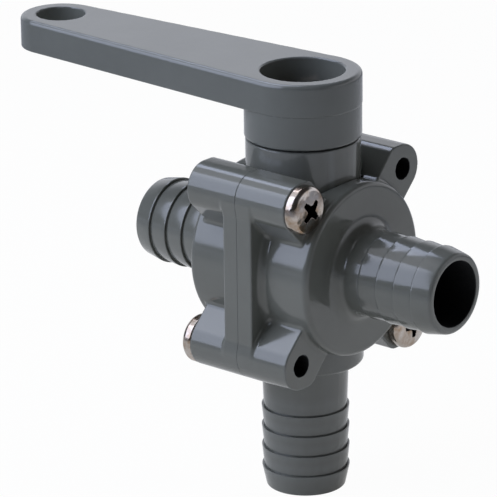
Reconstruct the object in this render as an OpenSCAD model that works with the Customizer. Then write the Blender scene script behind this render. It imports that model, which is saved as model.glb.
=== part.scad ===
// Three-way ball valve with an L-bored ball, two side ports, a bottom port and a lever.
// Millimetres. The origin is the centre of the bottom port's open end, +Z runs up the stem
// axis and +X runs along the front side port. At rest the lever lies over the rear port.

/* [Ports] */
// Flow bore of the three ports and of the ball
bore_d = 15; // [13:0.5:15.5]
// Diameter over the crest of each hose barb
barb_d = 20; // [19.5:0.25:21]
// Drop from a barb's crest to its root
barb_step = 0.45; // [0.3:0.05:0.6]
// Distance between two crests
barb_pitch = 4.85; // [4.4:0.05:5]
// Length of the straight land on each crest
barb_land = 0.3; // [0.2:0.05:0.5]
// Number of barbs on each port
barb_count = 4; // [2:1:4]
// Distance from a port's open end to its first crest
lead_in = 4.6; // [4:0.1:5]
// Distance from the stem axis to the open end of a side port
port_reach = 43; // [42:0.5:60]
// Height of the side ports' axis above the open end of the bottom port
run_height = 55.3; // [54:0.1:75]
// Distance by which the rim of a port's open end stands inside the crests
tip_drop = 0.9; // [0.7:0.05:1.1]
// Rounding of that rim
tip_round = 0.5; // [0.3:0.1:0.7]
// Depth of the groove behind each crest
undercut = 0.2; // [0.1:0.05:0.3]
// Width of that groove
undercut_w = 0.35; // [0.2:0.05:0.5]
// Widening of a port's root where it meets the body
root_flare = 0.4; // [0.1:0.1:0.6]
// Fillet between a side port and its cap's end face
port_fillet = 2.8; // [1:0.1:3]
// Rounding of a bore's open edge
mouth_round = 0.4; // [0.2:0.1:0.6]

/* [Caps] */
// Wall of a cap's barrel around the centre body
cap_wall = 2.5; // [2:0.1:4]
// End wall between the centre body and the cap's outer face
end_wall = 3.4; // [3:0.1:6]
// Rounding of the barrel's outer edge
barrel_round = 1.5; // [0.5:0.1:2]
// Distance from the outer face back to the screw bosses' faces
boss_step = 3; // [2:0.1:4]
// Wall of a screw boss around its clearance hole
boss_wall = 2.65; // [2.2:0.05:3]
// Angle of the screw bosses above and below the side ports' axis
boss_angle = 45.6; // [44.5:0.1:47]
// Rounding of a boss's inner corner beside the neck
corner_r = 3; // [2.6:0.1:3.4]
// Distance from a boss's axis in to the centre of that corner
corner_shift = 2.4; // [2:0.1:2.8]
// Direction in which the web's top leaves that corner
web_angle = 137.5; // [134:0.5:140]
// Thickness of each cap's side plates, measured from the seam
plate_t = 4; // [3:0.1:6]
// Distance by which a side plate's outer face stands inside its bosses
plate_inset = 0.45; // [0:0.05:1]
// Fillet between a side plate and the barrel
plate_fillet = 1.8; // [0.5:0.1:2]

/* [Centre body] */
// Neck around the stem
neck_d = 25.9; // [25:0.1:26.6]
// Rounding of the neck's upper edge
neck_round = 0.3; // [0.1:0.1:0.6]
// Collar above the bottom port
collar_d = 26.7; // [25:0.1:27]
// Height of the neck's top above the side ports' axis
neck_rise = 28; // [27:0.5:34]
// Distance from the side ports' axis down to the underside of the collar
collar_drop = 25; // [24:0.5:27]
// Rounding of the collar's lower edge
collar_round = 1; // [0.4:0.1:1.5]
// Wall of the ball chamber
chamber_wall = 3.5; // [3:0.1:4.5]

/* [Ball and seats] */
// Ball
ball_d = 27; // [26.6:0.1:28]
// Width of the seat's sealing land outside the bore
seat_land = 1.1; // [0.8:0.1:1.3]
// Outside diameter of a seat
seat_d = 22; // [21.4:0.1:22.4]
// Distance by which the holes in the ball and the seats stand back from the ports' bores
flow_relief = 0.2; // [0.2:0.05:0.3]
// Distance by which a seat stands out of the cap's plug
seat_proud = 0.5; // [0.3:0.1:0.7]
// Depth to which a seat is let into the cap's end wall
seat_recess = 0.6; // [0.4:0.1:1]
// Width and height of the step in a seat for its backing ring
seat_step = 1.4; // [1.2:0.1:1.5]
// Width of the seal groove in a cap's plug
seal_groove_w = 1.5; // [1.4:0.05:1.6]
// Depth of that groove
seal_groove_depth = 1.4; // [1.3:0.05:1.5]
// Width of the drive slot in the ball
slot_w = 6; // [5:0.1:7]
// Wall between the ball's bore and the floor of the slot
slot_web = 2.5; // [2.2:0.1:2.8]

/* [Stem] */
// Stem where it runs in the neck
stem_d = 15.9; // [15:0.1:16.4]
// Shoulder that holds the stem inside the chamber
shoulder_d = 18.8; // [18.2:0.1:19.4]
// Thickness of the shoulder
shoulder_t = 2.5; // [2:0.1:3]
// Thickness of the thrust washer above the shoulder
thrust_t = 0.8; // [0.5:0.1:1.2]
// Distance across the flats of the square that drives the lever
drive_af = 11; // [10:0.1:11.2]
// Distance by which the square ends below the floor of the lever's socket
drive_drop = 0.3; // [0.1:0.1:0.6]
// Distance by which the tongue's ends stand inside the shoulder
tongue_inset = 0.6; // [0.3:0.1:1]
// Radius of the section of the stem's two seal rings
stem_ring_r = 0.8; // [0.7:0.05:0.9]
// Height of the lower seal's centre above the thrust washer
low_seal_rise = 2.6; // [2:0.1:3]
// Depth of the upper seal's centre below the neck's top
high_seal_drop = 3.8; // [3.4:0.1:4.2]

/* [Lever] */
// Distance from the stem axis to the centre of the eye
lever_reach = 73.2; // [60:0.2:110]
// Boss over the neck
lever_boss_d = 26.6; // [26:0.1:30]
// Rounded end around the eye
lever_tip_d = 18.8; // [17:0.1:22]
// Height of the boss
lever_h = 15; // [14:0.5:20]
// Thickness of the arm
arm_t = 7.4; // [6:0.1:8]
// Eye in the lever's end
eye_d = 11.4; // [8:0.1:12]
// Socket in the top of the boss
socket_d = 19; // [18:0.1:20]
// Floor of the socket, which the stem's square drives
socket_floor = 4.9; // [4:0.1:6]
// Rounding of the arm's edges
arm_round = 1; // [0.4:0.1:1.5]
// Rounding of the boss's lower edge
boss_round = 0.4; // [0.2:0.1:0.8]
// Rounding of the socket's rim
socket_round = 0.5; // [0.2:0.1:0.8]
// Rounding of the eye's upper rim
eye_round = 0.4; // [0.2:0.1:0.8]

/* [Stop] */
// Angle through which the lever turns
lever_travel = 180; // [90:5:200]
// Width of the stop under the lever
stop_w = 1.8; // [1.4:0.1:2]
// Height of the stop
stop_depth = 1.5; // [1:0.1:2]
// Half of the angle that the stop takes up
stop_half_angle = 8; // [6:1:12]

/* [Screws] */
// Head of a case screw
head_d = 11.1; // [10:0.1:11.1]
// Height of the head
head_h = 3.4; // [2.5:0.1:3.8]
// Shank of a case screw
shank_d = 4.9; // [4:0.1:5.2]
// Length of the shank under the head
shank_l = 23; // [20:0.5:25]
// Width of the cross recess in a case screw's head
recess_w = 5.8; // [4.5:0.1:6.2]
// Head of the lever screw
lever_head_d = 9.2; // [8:0.1:9.6]
// Height of that head
lever_head_h = 3.1; // [2.4:0.1:3.4]
// Shank of the lever screw
lever_screw_d = 4.3; // [3.5:0.1:5]
// Length of that shank under the head
lever_screw_l = 11; // [9:0.5:13]
// Width of the cross recess in its head
lever_recess_w = 4.8; // [4:0.1:5.2]
// Thickness of the washer under the lever screw
washer_t = 1; // [0.6:0.1:1.4]

/* [Clearances] */
// Gap between a case screw's head and the barrel
head_gap = 0.2; // [0.1:0.05:0.5]
// Radial room around a shank in the boss under its head
clear_play = 0.55; // [0.4:0.05:0.6]
// Radial room around a shank in the other cap's boss and around the lever screw
thread_play = 0.05; // [0.02:0.01:0.1]
// Radial running clearance of the stem in the neck
stem_play = 0.05; // [0.02:0.01:0.1]
// Gap between the neck's top and the lever
lever_gap = 0.4; // [0.3:0.05:0.8]
// Gap between the ball and the chamber wall
ball_play = 0.3; // [0.2:0.05:0.5]
// Gap between the centre body and the caps around it
case_play = 0.2; // [0.1:0.05:0.3]
// Gap between the neck or collar and the caps' notches
notch_play = 0.15; // [0.1:0.05:0.3]
// Gap between a cap's plug and the chamber wall
plug_play = 0.1; // [0.05:0.01:0.15]
// Gap between the centre body's ends and the caps
end_play = 0.1; // [0.05:0.01:0.2]
// Radial gap between the stem's shoulder and the body
shoulder_play = 0.1; // [0.05:0.01:0.2]
// Gap on each side of the stem's tongue in the ball's slot
tongue_play = 0.1; // [0.05:0.01:0.15]
// Gap under the tongue
tongue_gap = 0.3; // [0.2:0.1:0.6]
// Radial gap between the lever's washer and the socket
washer_gap = 1; // [0.4:0.1:1.2]
// Radial room around the lever screw in its washer
washer_play = 0.4; // [0.2:0.05:0.5]
// Room on each side of a stem seal in its groove
seal_side_play = 0.25; // [0.1:0.05:0.3]
// Gap between a ring and the groove around it
ring_play = 0.03; // [0.02:0.01:0.05]
// Angle left at each end of the lever's stop groove
stop_play = 0.6; // [0.3:0.1:2]

/* [Hidden] */
$fn = 96;
// Length that reaches past the whole part
far = 200;
// Overlap of pieces that are joined
eps = 0.01;
// Inset that keeps one surface from grazing another that it would only touch
graze = 0.05;

// Colours
shell_grey = [0.40, 0.42, 0.43];
ball_white = [0.88, 0.88, 0.85];
seat_white = [0.93, 0.93, 0.90];
seal_black = [0.08, 0.08, 0.08];
steel = [0.75, 0.73, 0.71];

// Run axis outward, in the order in which the pieces fit round each other
bore_r = bore_d / 2;
flow_r = bore_r + flow_relief;
ball_r = ball_d / 2;
chamber_r = ball_r + ball_play;
chamber_outer_r = chamber_r + chamber_wall;
socket_r = chamber_outer_r + case_play;
barrel_r = socket_r + cap_wall;
plug_r = chamber_r - plug_play;

// Positions along the side ports' axis, from the seam outward
notch_r = max(neck_d, collar_d) / 2 + notch_play;
body_end = notch_r;
cap_floor = body_end + end_play;
cap_face = cap_floor + end_wall;
seat_face = sqrt(pow(ball_r, 2) - pow(bore_r + seat_land, 2));
plug_front = seat_face + seat_proud;
seat_back = cap_floor + seat_recess;
boss_face = cap_face - boss_step;

// Seats, their backing rings and the cap seals
seat_r = seat_d / 2;
seat_ring_r = seat_step / 2 - ring_play;
groove_mid = (plug_front + cap_floor) / 2;
groove_r = plug_r - seal_groove_depth;
seal_r = (chamber_r - groove_r) / 2 - ring_play;

// Hose barbs
barb_r = barb_d / 2;
root_r = barb_r - barb_step;
root_end_r = root_r + root_flare;
tip_r = barb_r - tip_drop;

// Screw bosses
boss_radius = barrel_r + head_gap + head_d / 2;
boss_y = boss_radius * cos(boss_angle);
boss_z = boss_radius * sin(boss_angle);
clear_r = shank_d / 2 + clear_play;
pilot_r = shank_d / 2 + thread_play;
boss_r = clear_r + boss_wall;
// Direction of a boss's flank, and how far a web's sides run in to end inside the barrel
flank_angle = -45;
web_run = 8;
plate_half_w = boss_y + boss_r - plate_inset;

// Stem heights above the side ports' axis
stem_r = stem_d / 2;
stem_bore_r = stem_r + stem_play;
shoulder_r = shoulder_d / 2;
shoulder_bore_r = shoulder_r + shoulder_play;
shoulder_top = chamber_r + shoulder_t;
thrust_top = shoulder_top + thrust_t;
slot_floor = flow_r + slot_web;
stem_groove_w = 2 * (stem_ring_r + seal_side_play);
stem_seal_low = thrust_top + low_seal_rise;
stem_seal_high = neck_rise - high_seal_drop;

// Lever heights above the bottom port's open end
neck_top = run_height + neck_rise;
lever_foot = neck_top + lever_gap;
lever_top = lever_foot + lever_h;
socket_bottom = lever_foot + socket_floor;
drive_top = socket_bottom - drive_drop;
// Radius of the square's rounded corners, which leaves a shoulder at its foot
drive_corner_r = min(stem_r - 0.3, 0.66 * drive_af);
lever_boss_r = lever_boss_d / 2;
lever_tip_r = lever_tip_d / 2;
lever_slope = asin((lever_boss_r - lever_tip_r) / lever_reach);
washer_r = socket_d / 2 - washer_gap;

// Circle of the stop and of the groove in which it travels
stop_mid_r = (stem_bore_r + neck_d / 2) / 2;

// Turned shapes

module ring(centre_r, section_r) {
  rotate_extrude()
    translate([centre_r, 0])
      circle(r = section_r);
}

module tube(outer_r, inner_r, length) {
  difference() {
    cylinder(r = outer_r, h = length);
    translate([0, 0, -1])
      cylinder(r = inner_r, h = length + 2);
  }
}

// Profile of a disc with one rounded rim at its top
module rounded_rim(radius, height, round) {
  square([radius - round, height]);
  square([radius, height - round]);
  translate([radius - round, height - round])
    circle(r = round);
}

// Profile of a disc with both rims rounded
module two_round_rims(radius, height, round) {
  square([radius - round, height]);
  translate([0, round])
    square([radius, height - 2 * round]);
  for (level = [round, height - round])
    translate([radius - round, level])
      circle(r = round);
}

// Cutter for a round hole whose upper rim, at z = 0, is rounded over
module hole_with_rim(radius, depth, round) {
  translate([0, 0, -depth])
    cylinder(r = radius, h = depth + 1);
  rotate_extrude()
    difference() {
      translate([0, -round])
        square([radius + round, round + 1]);
      translate([radius + round, -round])
        circle(r = round);
    }
}

// Outside of a hose port, its open end at z = 0 and its root at z = length
module hose_port(length) {
  rotate_extrude() {
    translate([0, tip_round])
      polygon([[0, 0], [tip_r, 0], [barb_r, lead_in - tip_round], [0, lead_in - tip_round]]);
    square([tip_r - tip_round, tip_round + eps]);
    translate([tip_r - tip_round, tip_round])
      circle(r = tip_round);
    for (i = [0 : barb_count - 1]) {
      crest = lead_in + i * barb_pitch;
      last = i == barb_count - 1;
      next = last ? length : crest + barb_pitch;
      translate([0, crest])
        square([barb_r, barb_land]);
      polygon([
        [0, crest],
        [root_r - undercut, crest],
        [root_r - undercut, crest + barb_land + undercut_w],
        [root_r, crest + barb_land + undercut_w],
        [last ? root_end_r : barb_r, next],
        [0, next]
      ]);
    }
  }
}

// Caps

// Lays a shape modelled with its axis upward along the front side port
module along_run() {
  translate([0, 0, run_height])
    rotate([0, 90, 0])
      children();
}

// Outline of one screw boss with its web to the barrel, seen along the side ports' axis
module boss_outline() {
  corner = [boss_y - corner_shift, boss_z + boss_r - corner_r];
  edge = corner + corner_r * [cos(web_angle), sin(web_angle)];
  web_side = [cos(web_angle + 90), sin(web_angle + 90)];
  outward = [cos(flank_angle), sin(flank_angle)];
  inward = [sin(flank_angle), -cos(flank_angle)];
  flank = [boss_y, boss_z] + boss_r * outward;
  translate([boss_y, boss_z])
    circle(r = boss_r);
  translate(corner)
    circle(r = corner_r);
  polygon([
    [boss_y, boss_z],
    [boss_y, boss_z + boss_r],
    corner + [0, corner_r],
    edge,
    edge + web_run * web_side,
    flank + web_run * inward,
    flank
  ]);
}

// Maps an outline drawn as [y, z] to the frame that along_run lays down
module seen_along_run(height) {
  linear_extrude(height = height)
    rotate(90)
      mirror([1, 0])
        rotate(180)
          children();
}

module four_bosses() {
  for (side = [0, 1])
    for (level = [0, 1])
      mirror([side, 0])
        mirror([0, level])
          boss_outline();
}

// Fillet between the side plates and the barrel
module plate_blend() {
  intersection() {
    translate([0, 0, plate_t - eps])
      rotate_extrude()
        difference() {
          square([barrel_r + plate_fillet, plate_fillet]);
          translate([barrel_r + plate_fillet, plate_fillet])
            circle(r = plate_fillet);
        }
    translate([-boss_z, -far / 2, 0])
      cube([2 * boss_z, far, far]);
  }
}

module cap_outside() {
  rotate_extrude()
    rounded_rim(barrel_r, cap_face, barrel_round);
  seen_along_run(boss_face)
    four_bosses();
  seen_along_run(plate_t)
    translate([-plate_half_w, -boss_z])
      square([2 * plate_half_w, 2 * boss_z]);
  plate_blend();
  translate([0, 0, port_reach])
    mirror([0, 0, 1])
      hose_port(port_reach - cap_face + eps);
  rotate_extrude()
    difference() {
      translate([0, cap_face - eps])
        square([root_end_r + port_fillet, port_fillet]);
      translate([root_end_r + port_fillet, cap_face + port_fillet])
        circle(r = port_fillet);
    }
}

// Hollow of a cap: the socket for the centre body, the plug's groove, the seat and the bore
module cap_hollow() {
  rotate_extrude()
    polygon([
      [0, -1],
      [socket_r, -1],
      [socket_r, cap_floor],
      [plug_r, cap_floor],
      [plug_r, groove_mid + seal_groove_w / 2],
      [groove_r, groove_mid + seal_groove_w / 2],
      [groove_r, groove_mid - seal_groove_w / 2],
      [plug_r, groove_mid - seal_groove_w / 2],
      [plug_r, plug_front],
      [seat_r + ring_play, plug_front],
      [seat_r + ring_play, seat_back],
      [0, seat_back]
    ]);
  translate([0, 0, port_reach])
    hole_with_rim(bore_r, port_reach - seat_back + 1, mouth_round);
}

// Two clearance holes for the cap's own screws and two pilot holes for the other cap's
module cap_screw_holes() {
  for (side = [-1, 1])
    for (level = [-1, 1])
      translate([-level * boss_z, side * boss_y, -1])
        cylinder(r = side * level < 0 ? clear_r : pilot_r, h = far);
}

// Notches around the neck and the collar, cut through the barrel and the bosses only
module neck_notches() {
  difference() {
    union() {
      translate([0, 0, run_height])
        cylinder(r = neck_d / 2 + notch_play, h = far);
      translate([0, 0, run_height - far])
        cylinder(r = collar_d / 2 + notch_play, h = far);
    }
    along_run()
      translate([0, 0, -far / 2])
        cylinder(r = socket_r - case_play / 2, h = far);
  }
}

module cap() {
  difference() {
    along_run()
      difference() {
        cap_outside();
        cap_hollow();
        cap_screw_holes();
      }
    neck_notches();
  }
}

module front_cap() {
  color(shell_grey)
    cap();
}

module rear_cap() {
  color(shell_grey)
    rotate([0, 0, 180])
      cap();
}

// Centre body

module centre_body() {
  color(shell_grey)
    difference() {
      union() {
        along_run()
          translate([0, 0, -body_end])
            cylinder(r = chamber_outer_r, h = 2 * body_end);
        translate([0, 0, run_height])
          rotate_extrude()
            rounded_rim(neck_d / 2, neck_rise, neck_round);
        translate([0, 0, run_height])
          mirror([0, 0, 1])
            rotate_extrude()
              rounded_rim(collar_d / 2, collar_drop, collar_round);
        hose_port(run_height - collar_drop + eps);
      }
      along_run()
        translate([0, 0, -body_end - 1])
          cylinder(r = chamber_r, h = 2 * body_end + 2);
      translate([0, 0, run_height])
        cylinder(r = shoulder_bore_r, h = thrust_top);
      translate([0, 0, run_height])
        cylinder(r = stem_bore_r, h = far);
      mirror([0, 0, 1])
        hole_with_rim(bore_r, run_height, mouth_round);
      stop_groove();
    }
}

// Part of a ring between two angles, each less than half a turn from the middle one
module ring_sector(mid_angle, half_angle, width, height) {
  wide = half_angle > 90;
  intersection() {
    tube(stop_mid_r + width / 2, stop_mid_r - width / 2, height);
    rotate([0, 0, mid_angle])
      translate([0, 0, -1])
        linear_extrude(height = height + 2)
          if (wide)
            difference() {
              translate([-far / 2, -far / 2])
                square(far);
              polygon([[0, 0], far * [cos(half_angle), sin(half_angle)],
                       far * [-1, 1], far * [-1, -1],
                       far * [cos(half_angle), -sin(half_angle)]]);
            }
          else
            polygon([[0, 0], far * [cos(half_angle), -sin(half_angle)],
                     far * [cos(half_angle), sin(half_angle)]]);
  }
}

// Groove in the neck's top in which the lever's stop travels
module stop_groove() {
  translate([0, 0, neck_top - stop_depth - lever_gap])
    ring_sector(180 + lever_travel / 2, lever_travel / 2 + stop_half_angle + stop_play,
                stop_w + 2 * case_play, stop_depth + lever_gap + 1);
}

// Ball, seats and seals

module ball() {
  color(ball_white)
    translate([0, 0, run_height])
      difference() {
        sphere(r = ball_r);
        mirror([0, 0, 1])
          cylinder(r = flow_r, h = ball_r + 1);
        rotate([0, -90, 0])
          cylinder(r = flow_r, h = ball_r + 1);
        sphere(r = flow_r);
        translate([-ball_r, -slot_w / 2, slot_floor])
          cube([ball_d, slot_w, ball_r]);
      }
}

module seat() {
  along_run()
    difference() {
      rotate_extrude()
        polygon([
          [flow_r, 0],
          [seat_r, 0],
          [seat_r, seat_back - seat_step],
          [seat_r - seat_step, seat_back - seat_step],
          [seat_r - seat_step, seat_back],
          [flow_r, seat_back]
        ]);
      translate([0, 0, seat_face - far])
        cylinder(r = seat_r + 1, h = far);
      sphere(r = ball_r + ring_play);
    }
}

module front_seat() {
  color(seat_white)
    seat();
}

module rear_seat() {
  color(seat_white)
    rotate([0, 0, 180])
      seat();
}

module seat_ring() {
  along_run()
    translate([0, 0, seat_back - seat_step / 2])
      ring(seat_r - seat_step / 2, seat_ring_r);
}

module front_seat_ring() {
  color(seal_black)
    seat_ring();
}

module rear_seat_ring() {
  color(seal_black)
    rotate([0, 0, 180])
      seat_ring();
}

module cap_seal() {
  along_run()
    translate([0, 0, groove_mid])
      ring((chamber_r + groove_r) / 2, seal_r);
}

module front_cap_seal() {
  color(seal_black)
    cap_seal();
}

module rear_cap_seal() {
  color(seal_black)
    rotate([0, 0, 180])
      cap_seal();
}

// Stem

module stem() {
  color(shell_grey)
    difference() {
      union() {
        translate([0, 0, run_height + chamber_r])
          cylinder(r = shoulder_r, h = shoulder_t);
        translate([0, 0, run_height + chamber_r])
          cylinder(r = stem_r, h = lever_foot - run_height - chamber_r);
        intersection() {
          translate([0, 0, run_height + slot_floor + tongue_gap])
            cylinder(r = shoulder_r - tongue_inset, h = chamber_r - slot_floor);
          translate([-shoulder_r, tongue_play - slot_w / 2, run_height])
            cube([2 * shoulder_r, slot_w - 2 * tongue_play, far]);
        }
        intersection() {
          translate([0, 0, lever_foot - 1])
            cylinder(r = drive_corner_r, h = drive_top - lever_foot + 1);
          translate([-drive_af / 2, -drive_af / 2, lever_foot - 1])
            cube([drive_af, drive_af, far]);
        }
      }
      for (level = [stem_seal_low, stem_seal_high])
        translate([0, 0, run_height + level - stem_groove_w / 2])
          tube(stem_r + 1, stem_bore_r - 2 * (stem_ring_r + ring_play), stem_groove_w);
      translate([0, 0, socket_bottom + washer_t - lever_screw_l - 2])
        cylinder(r = lever_screw_d / 2 + thread_play, h = far);
    }
}

module thrust_washer() {
  color(seat_white)
    translate([0, 0, run_height + shoulder_top])
      tube(shoulder_r, stem_bore_r, thrust_t);
}

module stem_seal(level) {
  translate([0, 0, run_height + level])
    ring(stem_bore_r - ring_play - stem_ring_r, stem_ring_r);
}

module lower_stem_seal() {
  color(seal_black)
    stem_seal(stem_seal_low);
}

module upper_stem_seal() {
  color(seal_black)
    stem_seal(stem_seal_high);
}

// Lever

// One side of the arm, rounded along its edges and tangent to the boss and the tip
module arm_side(side) {
  mirror([0, side, 0])
    rotate([0, 0, lever_slope])
      translate([0, lever_boss_r - graze, 0])
        rotate([0, -90, 0])
          linear_extrude(height = lever_reach * cos(lever_slope))
            translate([0, -3 * arm_round])
              mirror([1, 0])
                rotate(90)
                  two_round_rims(3 * arm_round, arm_t, arm_round);
}

module arm_middle() {
  normal = [-sin(lever_slope), cos(lever_slope)];
  boss_edge = (lever_boss_r - 1.5 * arm_round) * normal;
  tip_edge = [-lever_reach, 0] + (lever_tip_r - 1.5 * arm_round) * normal;
  linear_extrude(height = arm_t)
    polygon([boss_edge, tip_edge, [tip_edge[0], -tip_edge[1]], [boss_edge[0], -boss_edge[1]]]);
}

module arm() {
  rotate_extrude()
    two_round_rims(lever_boss_r, arm_t, arm_round);
  translate([-lever_reach, 0, 0])
    rotate_extrude()
      two_round_rims(lever_tip_r, arm_t, arm_round);
  for (side = [0, 1])
    arm_side(side);
  arm_middle();
}

module lever() {
  color(shell_grey)
    difference() {
      union() {
        translate([0, 0, lever_top - arm_t])
          arm();
        translate([0, 0, lever_top - 2 * arm_round])
          mirror([0, 0, 1])
            rotate_extrude()
              rounded_rim(lever_boss_r - graze, lever_h - 2 * arm_round, boss_round);
        translate([0, 0, lever_foot - stop_depth])
          ring_sector(180, stop_half_angle, stop_w, stop_depth + 1);
      }
      translate([0, 0, lever_top])
        hole_with_rim(socket_d / 2, lever_top - socket_bottom, socket_round);
      translate([-lever_reach, 0, lever_top])
        hole_with_rim(eye_d / 2, arm_t + 1, eye_round);
      intersection() {
        translate([0, 0, lever_foot - 1])
          cylinder(r = drive_corner_r + stem_play, h = socket_floor + 2);
        translate([-drive_af / 2 - stem_play, -drive_af / 2 - stem_play, lever_foot - 1])
          cube([drive_af + 2 * stem_play, drive_af + 2 * stem_play, far]);
      }
    }
}

module lever_washer() {
  color(steel)
    translate([0, 0, socket_bottom])
      tube(washer_r, lever_screw_d / 2 + washer_play, washer_t);
}

// Fasteners

// Pan head with a cross recess, its seat at z = 0
module pan_head(diameter, height, recess) {
  crown = 0.3;
  edge_r = 0.72 * height;
  flat_r = diameter / 2 - edge_r;
  crown_r = (pow(flat_r, 2) + pow(crown, 2)) / (2 * crown);
  recess_floor = 0.45 * height;
  cone_floor = 0.3 * height;
  difference() {
    rotate_extrude()
      intersection() {
        union() {
          square([diameter / 2, height - crown - edge_r]);
          translate([flat_r, height - crown - edge_r])
            circle(r = edge_r);
          square([flat_r, height - crown]);
          intersection() {
            square([flat_r, height]);
            translate([0, height - crown_r])
              circle(r = crown_r);
          }
        }
        square([diameter, height]);
      }
    for (turn = [0, 90])
      rotate([0, 0, turn])
        translate([-recess / 2, -recess / 10, recess_floor])
          cube([recess, recess / 5, height]);
    translate([0, 0, cone_floor])
      cylinder(r1 = 0.12 * recess, r2 = 0.3 * recess, h = height - cone_floor + eps);
  }
}

module lever_screw() {
  color(steel)
    translate([0, 0, socket_bottom + washer_t]) {
      pan_head(lever_head_d, lever_head_h, lever_recess_w);
      translate([0, 0, -lever_screw_l])
        cylinder(r = lever_screw_d / 2, h = lever_screw_l + eps);
    }
}

// Case screw of the front cap in the boss on the given side and level
module case_screw(side, level, turn) {
  color(steel)
    translate([boss_face, side * boss_y, run_height + level * boss_z])
      rotate([0, 90, 0]) {
        rotate([0, 0, turn])
          pan_head(head_d, head_h, recess_w);
        translate([0, 0, -shank_l])
          cylinder(r = shank_d / 2, h = shank_l + eps);
      }
}

module front_upper_screw() {
  case_screw(-1, 1, 45);
}

module front_lower_screw() {
  case_screw(1, -1, 15);
}

module rear_upper_screw() {
  rotate([0, 0, 180])
    case_screw(-1, 1, 30);
}

module rear_lower_screw() {
  rotate([0, 0, 180])
    case_screw(1, -1, 60);
}

front_cap();
rear_cap();
centre_body();
ball();
front_seat();
rear_seat();
front_seat_ring();
rear_seat_ring();
front_cap_seal();
rear_cap_seal();
stem();
thrust_washer();
lower_stem_seal();
upper_stem_seal();
lever();
lever_washer();
lever_screw();
front_upper_screw();
front_lower_screw();
rear_upper_screw();
rear_lower_screw();
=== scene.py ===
"""Looks of a three-way ball valve: two moulded caps round a centre body, a lever and screws.

The moulded and cold-headed pieces are described as signed distances, in which every edge has its
radius and every inner corner its fillet, and are meshed from them. The caps' hose barbs are turned.
The pieces inside keep the frame's own solids and get their finish here. Lengths are in millimetres
up to the point where a mesh is made, and heights are counted as each class says.
"""

import logging
import math
from dataclasses import dataclass
from enum import Enum
from typing import Callable

import bpy
import numpy as np
from bpy.types import ID, Material, Mesh, Node, NodeSocket, NodeTree, Object
from mathutils import Matrix, Quaternion, Vector

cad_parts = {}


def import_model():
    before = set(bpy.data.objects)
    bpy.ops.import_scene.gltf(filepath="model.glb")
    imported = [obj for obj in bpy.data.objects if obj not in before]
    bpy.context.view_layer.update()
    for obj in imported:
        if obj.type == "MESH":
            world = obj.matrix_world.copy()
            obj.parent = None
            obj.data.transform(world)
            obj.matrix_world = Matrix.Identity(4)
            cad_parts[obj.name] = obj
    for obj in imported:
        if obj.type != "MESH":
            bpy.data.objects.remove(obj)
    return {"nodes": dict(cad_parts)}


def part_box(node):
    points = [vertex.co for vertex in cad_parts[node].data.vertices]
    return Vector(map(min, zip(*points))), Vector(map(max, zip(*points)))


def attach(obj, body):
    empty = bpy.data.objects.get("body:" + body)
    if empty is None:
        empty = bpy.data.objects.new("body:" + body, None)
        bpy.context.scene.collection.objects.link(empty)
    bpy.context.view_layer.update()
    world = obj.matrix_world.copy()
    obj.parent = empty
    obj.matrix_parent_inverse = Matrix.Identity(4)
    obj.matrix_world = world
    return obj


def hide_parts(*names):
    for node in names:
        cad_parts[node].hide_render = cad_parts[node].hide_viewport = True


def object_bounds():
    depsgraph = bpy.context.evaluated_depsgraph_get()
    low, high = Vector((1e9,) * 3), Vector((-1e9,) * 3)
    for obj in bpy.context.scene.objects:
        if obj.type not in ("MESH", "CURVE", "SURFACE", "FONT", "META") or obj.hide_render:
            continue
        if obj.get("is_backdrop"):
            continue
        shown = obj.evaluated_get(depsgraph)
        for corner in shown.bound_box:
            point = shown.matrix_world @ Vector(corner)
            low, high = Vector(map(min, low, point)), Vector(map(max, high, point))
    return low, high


LOG = logging.getLogger("valve")
MM = 0.001
# Height of the side ports' axis above the bottom port's open end.
RUN_HEIGHT = 55.3
# Cells left free round a solid that is meshed. They keep the grid's planes off its flat sides.
MARGIN = 2.4
# Distance from a hollow's wall within which a face lies on it.
WALL_TOLERANCE = 0.08
# The usual least and most value of a noise.
NOISE_RANGE = (0.35, 0.65)
# Sockets of the Mix node where it mixes colours.
MIX_SHARE, MIX_A, MIX_B, MIXED = 0, 6, 7, 2
WHITE = (1.0, 1.0, 1.0, 1.0)
TINY = 1e-9

Array = np.ndarray
Point2 = tuple[float, float]
Point3 = tuple[float, float, float]
Colour = tuple[float, float, float, float]
Field = Callable[[Array, Array, Array], Array]
Inputs = dict[str | int, object]


class Body(Enum):
    """Bodies of the frame that pieces ride on."""

    HOUSING = "housing"
    HANDLE = "handle"


# Colour, node and object helpers


def linear(hex_code: str) -> Colour:
    """Turn an sRGB hex code into a linear colour.

    Args:
        hex_code: Six hex digits, such as "6B6F72".

    Returns:
        Linear red, green, blue and an alpha of 1.
    """
    channels = [int(hex_code[i : i + 2], 16) / 255 for i in (0, 2, 4)]
    curve = [c / 12.92 if c <= 0.04045 else ((c + 0.055) / 1.055) ** 2.4 for c in channels]
    return (curve[0], curve[1], curve[2], 1.0)


def add_node(tree: NodeTree, kind: str, inputs: Inputs | None = None, **settings: object) -> Node:
    """Add a node with its settings, socket values and links.

    Args:
        tree: Node tree that gets the node.
        kind: Blender's name of the node's type.
        inputs: Socket values by name or number. An output socket given as a value is linked.
        **settings: Properties of the node itself.

    Returns:
        The new node.
    """
    node = tree.nodes.new(kind)
    for name, value in settings.items():
        setattr(node, name, value)
    for socket, value in (inputs or {}).items():
        if isinstance(value, NodeSocket):
            tree.links.new(value, node.inputs[socket])
        else:
            node.inputs[socket].default_value = value
    return node


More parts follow.
